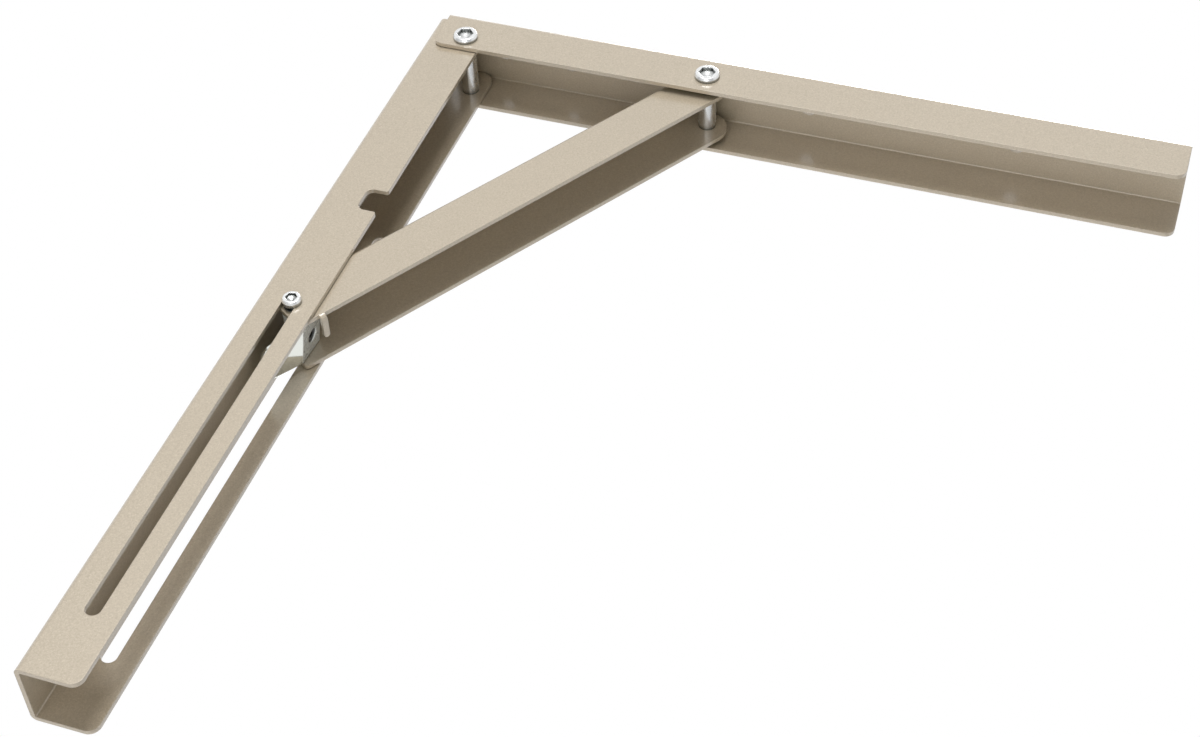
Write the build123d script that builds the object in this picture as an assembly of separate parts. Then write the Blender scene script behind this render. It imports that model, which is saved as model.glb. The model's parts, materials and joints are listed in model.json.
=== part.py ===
from build123d import *
import math
import os

# Folding shelf bracket, open, in millimetres.
# The wall lies in the plane X = 0, the shelf arm runs along +X and +Z is up.
# The origin is on the wall, level with the hinge, in the middle of the width.
# Left is the -Y side, right is the +Y side, as seen by someone facing the wall.

# Sheet and folds
sheet = 1.7
bend_radius = 2.2
nest_gap = 0.35
ear_relief = 0.1
relief_radius = 1.0

# Running clearances
pin_play = 0.05
washer_play = 0.04
head_play = 0.1
side_play = 0.2
stub_play = 0.05

# Wall arm
wall_length = 350.0
wall_depth = 22.9
wall_top_gap = 0.35
wall_top_radius = 6.0
wall_foot_radius = 4.0
hinge_out = 16.4

# Shelf arm
shelf_rise = 14.35
shelf_depth = 20.7
shelf_reach = 291.4
shelf_back = 12.0
shelf_back_radius = 3.5
shelf_end_radius = 4.0

# Strut
strut_width = 22.2
strut_back = 11.1
strut_front = 9.3
strut_head = 7.5
strut_toe = 4.3
strut_toe_radius = 1.5
strut_heel_radius = 4.0
web_from_pivot = 3.0
web_from_foot = 8.0
foot_offset = 1.0

# Pivot axes
pivot_out = 102.5
pivot_up = 2.8
foot_down = 163.0
foot_out = 13.4

# Notch for the pivot spacers and slot for the foot, in the wall arm's flanges
notch_height = 12.0
notch_drop = 0.5
notch_play = 0.4
notch_radius = 3.0
notch_lip_radius = 1.0
slot_width = 5.7
slot_out = 12.6
slot_head_room = 0.3
slot_spare = 10.3

# Screw holes in the two webs
wall_hole_radius = 2.75
wall_hole_first = 26.0
wall_hole_last = 23.7
wall_hole_count = 4
shelf_hole_radius = 3.1
shelf_hole_first = 142.0
shelf_hole_pitch = 84.0
shelf_pilot_radius = 2.5
shelf_pilot_first = 11.2
shelf_pilot_pitch = 29.3

# Barrels and screws of the hinge and the pivot
barrel_radius = 3.6
thread_radius = 2.4
thread_depth = 7.0
thread_bore_spare = 1.0
shoulder_radius = 3.0
head_radius = 5.05
head_top_radius = 4.5
head_height = 2.1
socket_flats = 6.0
socket_depth = 1.5
socket_turn = 16.0
drill_depth = 0.7
washer_radius = 5.5
spacer_radius = 4.0

# Foot pin, guide screws and foot washers
foot_radius = 2.5
stub_radius = 2.0
guide_head_radius = 3.6
guide_head_top_radius = 3.1
guide_head_height = 2.4
guide_socket_flats = 4.0
guide_socket_depth = 1.2
foot_washer_radius = 3.2

# Release lever
lever_front = 6.1
lever_fold = 8.0
lever_height = 13.5
lever_plate = 4.0
lever_tilt = 3.1
lever_skew = 8.6
lever_edge_radius = 0.8
lever_boss_radius = 4.3
paddle_lean = 29.9
paddle_length = 17.6
paddle_width = 17.8
paddle_shift = 0.5
paddle_thickness = 1.2
paddle_corner_radius = 4.5
paddle_rim = 0.3
grub_radius = 2.8
grub_drop = 0.9
grub_sink = 0.5
grub_mouth = 0.3
grub_socket_flats = 2.5
grub_socket_depth = 1.1

# Return spring of the lever
spring_wire = 0.8
spring_inner_radius = 2.7
spring_turns = 4.0
spring_pitch = 0.9
spring_inset = 0.9
spring_room = 0.3
spring_leg_up = 12.8
spring_leg_down = 15.0
spring_aim = 9.5
spring_set = 12.0

# Tab folded down from the strut's left flange
tab_from_foot = 4.5
tab_width = 2.3
tab_root = 3.0
tab_short = 1.0
tab_end_radius = 0.9

# Derived widths and places
bend_inside = bend_radius - sheet
step = sheet + nest_gap
wall_width = strut_width + 2 * step
shelf_width = wall_width + 2 * step
wall_inside = wall_width - 2 * sheet
strut_inside = strut_width - 2 * sheet
shelf_inside = shelf_width - 2 * sheet
wall_top = shelf_rise - sheet - wall_top_gap
pivot_x = hinge_out + pivot_out
notch_floor = hinge_out + pivot_up - spacer_radius - notch_play
notch_middle = -pivot_out - notch_drop
slot_top = -foot_down + slot_head_room + slot_width / 2
strut_span = math.hypot(pivot_x - foot_out, pivot_up + foot_down)
strut_lean = math.asin(foot_offset / strut_span)
strut_line = strut_span * math.cos(strut_lean)
strut_angle = math.atan2(-foot_down - pivot_up, foot_out - pivot_x) + strut_lean
strut_depth = strut_back + strut_front
folded_drop = math.sqrt(strut_span**2 - (hinge_out + pivot_up - foot_out) ** 2)
foot_travel = pivot_out + folded_drop - foot_down
slot_bottom = -foot_down - foot_travel - slot_spare - slot_width / 2
shoulder_hole = shoulder_radius + pin_play
stub_hole = stub_radius + pin_play

wall_plane = Plane(origin=(0, 0, wall_top), x_dir=(0, 0, -1), z_dir=(0, -1, 0))
shelf_plane = Plane(origin=(hinge_out - shelf_back, 0, shelf_rise), x_dir=(1, 0, 0), z_dir=(0, 1, 0))
hinge_plane = Plane(origin=(hinge_out, 0, 0), x_dir=(1, 0, 0), z_dir=(0, -1, 0))
pivot_plane = Plane(origin=(pivot_x, 0, pivot_up), x_dir=(1, 0, 0), z_dir=(0, -1, 0))
foot_plane = Plane(origin=(foot_out, 0, -foot_down), x_dir=(1, 0, 0), z_dir=(0, -1, 0))
strut_x = Vector(math.cos(strut_angle), 0, math.sin(strut_angle))
strut_y = Vector(-math.sin(strut_angle), 0, math.cos(strut_angle))
strut_origin = Vector(pivot_x, 0, pivot_up) - strut_x * strut_head - strut_y * strut_back
strut_plane = Plane(origin=strut_origin, x_dir=strut_x, z_dir=(0, -1, 0))


# Channels
# A channel is drawn lying along +X, with the outer face of its web at Y = 0,
# its flanges reaching to Y = depth, and its width centred on Z = 0.


def through(sketch, width):
    return extrude(sketch, amount=width, both=True)


def channel_section(width, depth):
    outer = width / 2
    inner = outer - sheet
    points = [
        (depth, outer),
        (0, outer),
        (0, -outer),
        (depth, -outer),
        (depth, -inner),
        (sheet, -inner),
        (sheet, inner),
        (depth, inner),
    ]
    radii = [0, bend_radius, bend_radius, 0, 0, bend_inside, bend_inside, 0]
    return Plane.YZ * make_face(FilletPolyline(*points, radius=radii, close=True))


def folded_channel(width, depth, length, points, radii):
    blank = extrude(channel_section(width, depth), amount=length)
    outline = make_face(FilletPolyline(*points, radius=radii, close=True))
    return blank & through(outline, width)


def web_holes(first, pitch, count, radius):
    holes = Sketch() + [Pos(first + i * pitch, 0) * Circle(radius) for i in range(count)]
    return Plane.XZ * holes


def wall_arm():
    notch_start = wall_top - notch_middle - notch_height / 2
    notch_end = notch_start + notch_height
    points = [
        (0, 0),
        (0, wall_depth),
        (notch_start, wall_depth),
        (notch_start, notch_floor),
        (notch_end, notch_floor),
        (notch_end, wall_depth),
        (wall_length, wall_depth),
        (wall_length, 0),
    ]
    radii = [
        0,
        wall_top_radius,
        notch_lip_radius,
        notch_radius,
        notch_radius,
        notch_lip_radius,
        wall_foot_radius,
        0,
    ]
    arm = folded_channel(wall_width, wall_depth, wall_length, points, radii)
    slot_length = slot_top - slot_bottom
    slot_middle = wall_top - (slot_top + slot_bottom) / 2
    arm -= through(Pos(slot_middle, slot_out) * SlotOverall(slot_length, slot_width), wall_width)
    arm -= through(Pos(wall_top, hinge_out) * Circle(shoulder_hole), wall_width)
    first = wall_top + wall_hole_first
    pitch = (wall_length - wall_hole_last - first) / (wall_hole_count - 1)
    holes = web_holes(first, pitch, wall_hole_count, wall_hole_radius)
    arm -= extrude(holes, amount=2 * sheet, both=True)
    return wall_plane * arm


def shelf_arm():
    length = shelf_back + shelf_reach
    points = [(0, 0), (0, shelf_depth), (length, shelf_depth), (length, 0)]
    radii = [0, shelf_back_radius, shelf_end_radius, 0]
    arm = folded_channel(shelf_width, shelf_depth, length, points, radii)
    axes = Sketch() + [
        Pos(shelf_back, shelf_rise) * Circle(shoulder_hole),
        Pos(shelf_back + pivot_out, shelf_rise - pivot_up) * Circle(shoulder_hole),
    ]
    arm -= through(axes, shelf_width)
    holes = web_holes(shelf_back + shelf_hole_first, shelf_hole_pitch, 2, shelf_hole_radius)
    pilots = web_holes(shelf_back + shelf_pilot_first, shelf_pilot_pitch, 2, shelf_pilot_radius)
    arm -= extrude(holes, amount=2 * sheet, both=True)
    arm -= extrude(pilots, amount=2 * sheet, both=True)
    return shelf_plane * arm


def tab():
    outer = strut_width / 2
    inner = outer - sheet
    root = strut_depth - tab_root
    face = strut_depth + sheet
    points = [
        (root, outer),
        (face, outer),
        (face, tab_short),
        (strut_depth, tab_short),
        (strut_depth, inner),
        (root, inner),
    ]
    radii = [0, bend_radius, 0, 0, bend_inside, 0]
    section = Plane.YZ * make_face(FilletPolyline(*points, radius=radii, close=True))
    finger = extrude(section, amount=tab_width)
    tip = finger.edges().filter_by(Axis.Y).group_by(Axis.Z)[0]
    finger = fillet(tip, tab_end_radius)
    start = strut_head + strut_line - tab_from_foot - tab_width
    return Pos(start, 0, 0) * finger


def strut():
    length = strut_head + strut_line + strut_toe
    ear = bend_radius + ear_relief
    web_start = strut_head + web_from_pivot
    web_end = strut_head + strut_line - web_from_foot
    ear_radius = strut_depth - ear - strut_front - ear_relief
    points = [
        (0, ear),
        (0, strut_depth),
        (length, strut_depth),
        (length, ear),
        (web_end, ear),
        (web_end, 0),
        (web_start, 0),
        (web_start, ear),
    ]
    radii = [ear_radius, strut_front, strut_toe_radius, strut_heel_radius, relief_radius, 0, 0, relief_radius]
    body = folded_channel(strut_width, strut_depth, length, points, radii)
    body += tab()
    body -= through(Pos(strut_head, strut_back) * Circle(shoulder_hole), strut_width)
    foot = Pos(strut_head + strut_line, strut_back - foot_offset)
    body -= through(foot * Circle(stub_hole), strut_width)
    return strut_plane * body


# Turned pieces
# They are drawn standing on Z, and a plane across the bracket carries them to their axis.


def ring(outer, inner, thickness, start):
    face = Circle(outer) - Circle(inner)
    return Pos(0, 0, start) * extrude(face, amount=thickness)


def barrel(length):
    body = Cylinder(barrel_radius, length)
    depth = thread_depth + thread_bore_spare
    for side in (-1, 1):
        start = side * (length - depth) / 2
        body -= Pos(0, 0, start) * Cylinder(thread_radius + pin_play, depth)
    return body


def socket_head(radius, top_radius, height, flats, depth):
    points = [(0, 0), (radius, 0), (radius, height / 2), (top_radius, height), (0, height)]
    profile = Plane.XZ * make_face(FilletPolyline(*points, radius=[0, 0, height / 4, height / 5, 0], close=True))
    head = revolve(profile, Axis.Z)
    hexagon = Rot(0, 0, socket_turn) * RegularPolygon(flats / 2, 6, major_radius=False)
    head -= Pos(0, 0, height - depth) * extrude(hexagon, amount=depth)
    cone = Cone(0, flats / 2, drill_depth, align=(Align.CENTER, Align.CENTER, Align.MAX))
    return head - Pos(0, 0, height - depth) * cone


def pivot_screw(outside, seat):
    head = socket_head(head_radius, head_top_radius, head_height, socket_flats, socket_depth)
    grip = outside + head_play - seat
    shoulder = Pos(0, 0, -grip / 2) * Cylinder(shoulder_radius, grip)
    thread = Pos(0, 0, -grip - thread_depth / 2) * Cylinder(thread_radius, thread_depth)
    return Pos(0, 0, outside + head_play) * (head + shoulder + thread)


def guide_screw():
    outside = wall_width / 2 + head_play
    seat = wall_inside / 2 + stub_play
    head = socket_head(
        guide_head_radius, guide_head_top_radius, guide_head_height, guide_socket_flats, guide_socket_depth
    )
    grip = outside - seat
    shoulder = Pos(0, 0, -grip / 2) * Cylinder(stub_radius, grip)
    return Pos(0, 0, outside) * (head + shoulder)


def foot_pin():
    stub_end = wall_inside / 2 - stub_play
    return Cylinder(foot_radius, strut_inside) + Cylinder(stub_radius, 2 * stub_end)


# Release lever
# It is drawn in the side view, with the foot axis at its origin.
# Its front and its paddle are turned by the skew, so that the left side stands out further.


def lever_front_place(turn):
    return Pos(lever_front, -lever_fold, 0) * Rot(0, lever_skew, 0) * Rot(0, 0, -turn)


def paddle():
    blade = Box(paddle_thickness, paddle_length, paddle_width, align=(Align.MAX, Align.MAX, Align.CENTER))
    end = blade.edges().filter_by(Axis.X).group_by(Axis.Y)[0]
    blade = fillet(end, paddle_corner_radius)
    rim = blade.faces().sort_by(Axis.X)[-1].edges().sort_by(Axis.Y)[:-1]
    blade = fillet(rim, paddle_rim)
    return lever_front_place(paddle_lean) * Pos(0, 0, -paddle_shift) * blade


def lever_hub(width):
    plate = Box(lever_plate, lever_height, 2 * width, align=(Align.MAX, Align.MIN, Align.CENTER))
    top = plate.edges().filter_by(Axis.Z).group_by(Axis.Y)[-1]
    plate = fillet(top, lever_edge_radius)
    slab = Box(4 * lever_front, 4 * lever_height, width)
    boss = Pos(0, 0, spring_depth() / 2) * Cylinder(lever_boss_radius, width - spring_depth())
    return (lever_front_place(lever_tilt) * plate & slab) + boss


def grub_place(out):
    return Pos(0, -grub_drop, 0) * Rot(0, lever_skew, 0) * Pos(out, 0, 0) * Rot(0, 90, 0)


def grub_face():
    rise = (lever_fold - grub_drop) * math.tan(math.radians(lever_tilt))
    return (lever_front + rise) * math.cos(math.radians(lever_skew))


def release_lever():
    width = strut_inside - 2 * side_play
    body = lever_hub(width) + paddle()
    body -= Cylinder(foot_radius + pin_play, 2 * width)
    bore = Cylinder(grub_radius + pin_play, 2 * lever_front, align=(Align.CENTER, Align.CENTER, Align.MIN))
    mouth = Cone(grub_radius, grub_radius + 2 * grub_mouth, 2 * grub_mouth)
    body -= grub_place(0) * bore
    body -= grub_place(grub_face()) * mouth
    pocket = Cylinder(spring_inner_radius + spring_wire + spring_room, 2 * spring_depth())
    body -= Pos(0, 0, -width / 2) * pocket
    return foot_plane * body


def spring_depth():
    return spring_inset + spring_turns * spring_pitch + spring_wire + spring_room


def lever_grub():
    skew = math.radians(lever_skew)
    start = (foot_radius + stub_play + grub_radius * math.sin(skew)) / math.cos(skew)
    length = grub_face() - grub_sink - start
    body = Cylinder(grub_radius, length, align=(Align.CENTER, Align.CENTER, Align.MIN))
    socket = RegularPolygon(grub_socket_flats / 2, 6, major_radius=False)
    body -= Pos(0, 0, length - grub_socket_depth) * extrude(socket, amount=grub_socket_depth)
    return foot_plane * grub_place(start) * body


def lever_spring():
    mean = spring_inner_radius + spring_wire / 2
    height = (spring_turns + spring_set / 360) * spring_pitch
    coil = Helix(spring_pitch, height, mean)
    upper = Line(coil @ 0 - (coil % 0) * spring_leg_up, coil @ 0)
    lower = Line(coil @ 1, coil @ 1 + (coil % 1) * spring_leg_down)
    path = Wire([upper, coil, lower])
    spring = sweep(Plane(origin=path @ 0, z_dir=path % 0) * Circle(spring_wire / 2), path=path)
    start = spring_inset + side_play - strut_inside / 2
    return foot_plane * Pos(0, 0, start) * Rot(0, 0, 180 - spring_aim) * spring


def mirrored(name, plane, piece):
    return {name + "_left": plane * piece, name + "_right": plane * Rot(180, 0, 0) * piece}


def build():
    parts = {
        "wall_arm": wall_arm(),
        "shelf_arm": shelf_arm(),
        "strut": strut(),
        "hinge_barrel": hinge_plane * barrel(wall_inside),
        "pivot_barrel": pivot_plane * barrel(strut_inside),
        "foot_pin": foot_plane * foot_pin(),
        "release_lever": release_lever(),
        "lever_grub_screw": lever_grub(),
        "lever_spring": lever_spring(),
    }
    outside = shelf_width / 2
    hinge_washer = ring(washer_radius, shoulder_hole, nest_gap - washer_play, wall_width / 2)
    spacer_length = (shelf_inside - strut_width) / 2 - 2 * washer_play
    spacer = ring(spacer_radius, shoulder_hole, spacer_length, strut_width / 2 + washer_play)
    foot_washer = ring(foot_washer_radius, stub_hole, nest_gap - 2 * washer_play, strut_width / 2 + washer_play)
    parts |= mirrored("hinge_screw", hinge_plane, pivot_screw(outside, wall_inside / 2))
    parts |= mirrored("hinge_washer", hinge_plane, hinge_washer)
    parts |= mirrored("pivot_screw", pivot_plane, pivot_screw(outside, strut_inside / 2))
    parts |= mirrored("pivot_spacer", pivot_plane, spacer)
    parts |= mirrored("foot_washer", foot_plane, foot_washer)
    parts |= mirrored("guide_screw", foot_plane, guide_screw())
    return parts


os.makedirs("parts", exist_ok=True)
for node, shape in build().items():
    export_step(shape, f"parts/{node}.step")
print("foot travel", round(foot_travel, 3), "strut span", round(strut_span, 3))
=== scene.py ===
import json

import bpy
from mathutils import Matrix, Vector


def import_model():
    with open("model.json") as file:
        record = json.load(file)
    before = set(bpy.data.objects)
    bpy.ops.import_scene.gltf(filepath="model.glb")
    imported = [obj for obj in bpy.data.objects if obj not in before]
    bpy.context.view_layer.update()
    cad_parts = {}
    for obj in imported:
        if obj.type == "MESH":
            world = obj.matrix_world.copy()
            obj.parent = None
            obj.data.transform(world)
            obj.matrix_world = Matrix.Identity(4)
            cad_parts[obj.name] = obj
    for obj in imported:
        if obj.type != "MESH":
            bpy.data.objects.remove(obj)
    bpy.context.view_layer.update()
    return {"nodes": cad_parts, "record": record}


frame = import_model()
nodes = frame["nodes"]

# The CAD nodes of the folding shelf bracket get their finishes. No shape is added.
# Lengths are in metres, except those of the camera's lens, which are in millimetres.

# How far sharp edges are rounded in the shading
EDGE_ROUND = 0.0005

# Paint: grain sizes, colours, the reach and depth of the shade painted into its inner corners, and
# its orange peel
MOTTLE = 0.02
GRAIN = 0.0007
SPARKLE = 0.00028
PAINT_DARK = (0.500, 0.422, 0.310)
PAINT_LIGHT = (0.532, 0.452, 0.336)
PAINT_GRAIN = (0.37, 0.305, 0.215)
PAINT_FLAKE = (0.74, 0.65, 0.52)
PAINTED_CORNER_SHADE = (0.15, 0.125, 0.065)
CORNER_SHADE_REACH = 0.018
SHADE = 0.75
PEEL_DEPTH = 0.00002
FINE_PEEL_DEPTH = 0.000008

# Bare and plated metal
# Reach and colour of the shade painted into the metal's creases and sockets
CREASE_SHADE_REACH = 0.0030
PAINTED_CREASE_SHADE = (0.10, 0.11, 0.10)
WARMTH = (0.95, 0.95, 0.93)
PLATE_DEPTH = 0.000002
DARK_DEPTH = 0.000003

# The lever's casting, whose paddle is polished below a height
# Reach of the shade painted into the casting's creases
CASTING_SHADE_REACH = 0.0006
CASTING_METALLIC = 0.35
PADDLE_TOP = -0.1715
PADDLE_EDGE = 0.001
PADDLE_ROUGH = (0.06, 0.12)

# Moulded plastic
PLASTIC_MOTTLE = 0.004
PLASTIC_GRAIN = 0.001
PLASTIC_BUMP = 0.0006
PLASTIC_DEPTH = 0.00001

# Studio
CENTRE = (0.15, 0.0, -0.16)
FLOOR_Z = -1.35
FLOOR_SIZE = 9.0
FLOOR_MOTTLE = 0.3
WHITE = (1.0, 1.0, 1.0, 1.0)
FILL = 0.02

# Camera, fitted to the photo
FOCAL = 62.74
SENSOR = 36.0
CAMERA_AT = Vector((0.31408, -0.52650, -0.63777))
CAMERA_RIGHT = (0.944991, 0.037097, 0.324985)
CAMERA_UP = (-0.206347, -0.703289, 0.680298)


class Shader:
    """A node material under construction."""

    def __init__(self, name):
        self.material = bpy.data.materials.new(name)
        self.material.use_nodes = True
        self.tree = self.material.node_tree
        self.principled = self.tree.nodes["Principled BSDF"]
        self.place = self.node("ShaderNodeTexCoord").outputs["Object"]

    def node(self, kind, **settings):
        made = self.tree.nodes.new(kind)
        for key, value in settings.items():
            setattr(made, key, value)
        return made

    def link(self, source, target):
        self.tree.links.new(source, target)

    def set(self, socket, value):
        self.principled.inputs[socket].default_value = value

    def drive(self, socket, source):
        self.link(source, self.principled.inputs[socket])

    def noise(self, size, detail=3.0):
        mapping = self.node("ShaderNodeMapping")
        mapping.inputs["Scale"].default_value = [1.0 / size] * 3
        self.link(self.place, mapping.inputs["Vector"])
        made = self.node("ShaderNodeTexNoise")
        made.inputs["Scale"].default_value = 1.0
        made.inputs["Detail"].default_value = detail
        made.inputs["Roughness"].default_value = 0.55
        self.link(mapping.outputs["Vector"], made.inputs["Vector"])
        return made.outputs["Fac"]

    def flakes(self, size):
        made = self.node("ShaderNodeTexVoronoi")
        made.inputs["Scale"].default_value = 1.0 / size
        self.link(self.place, made.inputs["Vector"])
        return made.outputs["Color"]

    def openness(self, reach):
        """1 on an open face, and lower where a surface is near."""
        made = self.node("ShaderNodeAmbientOcclusion", samples=8)
        made.inputs["Distance"].default_value = reach
        return made.outputs["AO"]

    def rounded(self, radius):
        """Normals that round the sharp edges."""
        made = self.node("ShaderNodeBevel", samples=6)
        made.inputs["Radius"].default_value = radius
        return made.outputs["Normal"]

    def height(self):
        made = self.node("ShaderNodeSeparateXYZ")
        self.link(self.place, made.inputs["Vector"])
        return made.outputs["Z"]

    def span(self, value, low, high, start=0.0, end=1.0):
        """Low where the value is at start, high where it is at end."""
        made = self.node("ShaderNodeMapRange")
        ends = {"From Min": start, "From Max": end, "To Min": low, "To Max": high}
        for socket, number in ends.items():
            made.inputs[socket].default_value = number
        self.link(value, made.inputs["Value"])
        return made.outputs["Result"]

    def blend(self, factor, a, b):
        """a where the factor is 0, b where it is 1; each is a colour or a socket."""
        made = self.node("ShaderNodeMix", data_type="RGBA")
        self.link(factor, made.inputs[0])
        for socket, value in ((6, a), (7, b)):
            if isinstance(value, tuple):
                made.inputs[socket].default_value = (*value, 1.0)
            else:
                self.link(value, made.inputs[socket])
        return made.outputs[2]

    def bump(self, height, depth, before=None):
        made = self.node("ShaderNodeBump")
        made.inputs["Strength"].default_value = 1.0
        made.inputs["Distance"].default_value = depth
        self.link(height, made.inputs["Height"])
        if before is not None:
            self.link(before, made.inputs["Normal"])
        self.drive("Normal", made.outputs["Normal"])
        return made.outputs["Normal"]


def paint():
    """Champagne paint: grain, metal flakes, a coat, orange peel and shade painted into its inner
    corners.
    """
    s = Shader("champagne_paint")
    base = s.blend(s.noise(MOTTLE, detail=4), PAINT_DARK, PAINT_LIGHT)
    grain = s.span(s.noise(GRAIN, detail=2), low=0.0, high=0.6, start=0.35, end=0.75)
    grained = s.blend(grain, base, PAINT_GRAIN)
    sparkle = s.span(s.flakes(SPARKLE), low=0.0, high=0.45, start=0.65, end=1.0)
    flaked = s.blend(sparkle, grained, PAINT_FLAKE)
    # Painted shade: the paint darkens towards a dark brown in inner corners, where other surfaces
    # are near
    painted_shade = s.span(s.openness(CORNER_SHADE_REACH), low=SHADE, high=0.0, start=0.10, end=0.55)
    s.drive("Base Color", s.blend(painted_shade, flaked, PAINTED_CORNER_SHADE))
    s.drive("Roughness", s.span(s.flakes(SPARKLE), low=0.30, high=0.40))
    s.set("Metallic", 0.1)
    s.set("Specular IOR Level", 0.9)
    s.set("Coat Weight", 1.0)
    s.set("Coat Roughness", 0.15)
    s.set("Coat IOR", 1.6)
    edges = s.rounded(EDGE_ROUND)
    peel = s.bump(s.noise(GRAIN * 2, detail=2), PEEL_DEPTH, before=edges)
    s.bump(s.noise(GRAIN * 0.6, detail=1), FINE_PEEL_DEPTH, before=peel)
    return s.material


def metal(name, tone, rough, grain, depth, reach):
    """Metal with a fine grain and shade painted into its creases, and its roughness, which the
    caller links.
    """
    s = Shader(name)
    warm = tuple(c * w for c, w in zip(tone, WARMTH))
    toned = s.blend(s.noise(grain * 6, detail=4), tone, warm)
    # Painted shade: the metal darkens to a near-black in creases and sockets, where other surfaces
    # are near
    unshaded = s.span(s.openness(reach), low=0.0, high=1.0, start=0.45, end=0.95)
    s.drive("Base Color", s.blend(unshaded, PAINTED_CREASE_SHADE, toned))
    uneven = s.span(s.noise(grain * 3, detail=3), *rough)
    s.bump(s.noise(grain, detail=3), depth, before=s.rounded(EDGE_ROUND / 2))
    return s, uneven


def plated(name, tone, rough, grain, depth=PLATE_DEPTH):
    """Bright or dark plated steel."""
    s, uneven = metal(name, tone, rough, grain, depth, CREASE_SHADE_REACH)
    s.drive("Roughness", uneven)
    s.set("Metallic", 1.0)
    return s.material


def casting(name, tone, rough, grain):
    """A dull plated casting that is polished below PADDLE_TOP."""
    s, uneven = metal(name, tone, rough, grain, PLATE_DEPTH, CASTING_SHADE_REACH)
    polish = s.span(s.height(), low=1.0, high=0.0, start=PADDLE_TOP, end=PADDLE_TOP + PADDLE_EDGE)
    smooth = s.span(uneven, *PADDLE_ROUGH, *rough)
    s.drive("Roughness", s.blend(polish, uneven, smooth))
    s.drive("Metallic", s.span(polish, low=CASTING_METALLIC, high=1.0))
    return s.material


def plastic(name, tone):
    """Matte moulded plastic."""
    s = Shader(name)
    dull = tuple(c * 0.92 for c in tone)
    s.drive("Base Color", s.blend(s.noise(PLASTIC_MOTTLE, detail=4), tone, dull))
    s.drive("Roughness", s.span(s.noise(PLASTIC_GRAIN), low=0.5, high=0.65))
    s.bump(s.noise(PLASTIC_BUMP), PLASTIC_DEPTH)
    return s.material


looks = {
    "bronze_paint": paint(),
    "bright_zinc": plated("bright_zinc", (0.82, 0.83, 0.84), rough=(0.20, 0.32), grain=0.0012),
    "steel": plated("bright_steel", (0.62, 0.62, 0.62), rough=(0.22, 0.34), grain=0.0010),
    "washer_plastic": plastic("washer_plastic", (0.75, 0.74, 0.70)),
    "lever_plate": casting("plated_casting", (0.80, 0.82, 0.78), rough=(0.22, 0.34), grain=0.0012),
    "grub_steel": plated("dark_steel", (0.10, 0.10, 0.11), (0.30, 0.45), 0.0008, DARK_DEPTH),
    "spring_steel": plated("spring_steel", (0.08, 0.08, 0.09), (0.30, 0.42), 0.0008, DARK_DEPTH),
}
for entry in frame["record"]["subparts"]:
    piece = nodes[entry["node"]]
    piece.data.materials.clear()
    piece.data.materials.append(looks[entry["material_slot"]])


def add(name, data):
    made = bpy.data.objects.new(name, data)
    bpy.context.scene.collection.objects.link(made)
    return made


def lamp(name, at, aim, size, power):
    """A round area lamp that faces the point aim."""
    light = bpy.data.lights.new(name, "AREA")
    light.shape = "DISK"
    light.size = size
    light.energy = power
    made = add(name, light)
    made.location = Vector(at)
    made.rotation_mode = "QUATERNION"
    made.rotation_quaternion = (Vector(aim) - Vector(at)).to_track_quat("-Z", "Y")


lamp("key", at=(0.0, -1.58, 0.12), aim=CENTRE, size=0.9, power=18.7)
lamp("low", at=(0.25, -0.5, -1.3), aim=CENTRE, size=0.8, power=3)
lamp("top", at=(0.15, 0.8, 8.0), aim=(0.15, 0.8, FLOOR_Z), size=5.0, power=620)
lamp("back", at=(0.15, 1.6, -0.16), aim=CENTRE, size=1.2, power=8)


def floor():
    mesh = bpy.data.meshes.new("floor")
    half = FLOOR_SIZE / 2
    corners = [(-half, -half), (half, -half), (half, half), (-half, half)]
    mesh.from_pydata([(x, y, FLOOR_Z) for x, y in corners], [], [(0, 1, 2, 3)])
    made = add("floor", mesh)
    s = Shader("floor_paint")
    s.drive("Base Color", s.blend(s.noise(FLOOR_MOTTLE), (0.89, 0.89, 0.89), (0.91, 0.91, 0.91)))
    s.set("Roughness", 0.8)
    made.data.materials.append(s.material)


floor()


def world():
    """White for the camera and in reflections, and a faint fill for everything else."""
    made = bpy.data.worlds.new("studio")
    bpy.context.scene.world = made
    made.use_nodes = True
    tree = made.node_tree
    tree.nodes.clear()
    link = tree.links.new

    def light(strength):
        shade = tree.nodes.new("ShaderNodeBackground")
        shade.inputs["Strength"].default_value = strength
        shade.inputs["Color"].default_value = WHITE
        return shade.outputs[0]

    path = tree.nodes.new("ShaderNodeLightPath")
    rays = path.outputs["Is Camera Ray"]
    for other in ("Is Glossy Ray", "Is Transmission Ray"):
        either = tree.nodes.new("ShaderNodeMath")
        either.operation = "MAXIMUM"
        link(rays, either.inputs[0])
        link(path.outputs[other], either.inputs[1])
        rays = either.outputs[0]
    choose = tree.nodes.new("ShaderNodeMixShader")
    out = tree.nodes.new("ShaderNodeOutputWorld")
    link(rays, choose.inputs[0])
    link(light(FILL), choose.inputs[1])
    link(light(1.0), choose.inputs[2])
    link(choose.outputs[0], out.inputs["Surface"])


world()


def camera():
    lens = bpy.data.cameras.new("camera")
    lens.sensor_width = SENSOR
    lens.lens = FOCAL
    lens.clip_start = 0.01
    lens.clip_end = 50
    made = add("camera", lens)
    right = Vector(CAMERA_RIGHT).normalized()
    up = Vector(CAMERA_UP).normalized()
    back = right.cross(up)
    turn = Matrix((right, up, back)).transposed().to_4x4()
    made.matrix_world = Matrix.Translation(CAMERA_AT) @ turn
    bpy.context.scene.camera = made


camera()
bpy.context.scene.view_settings.view_transform = "Standard"
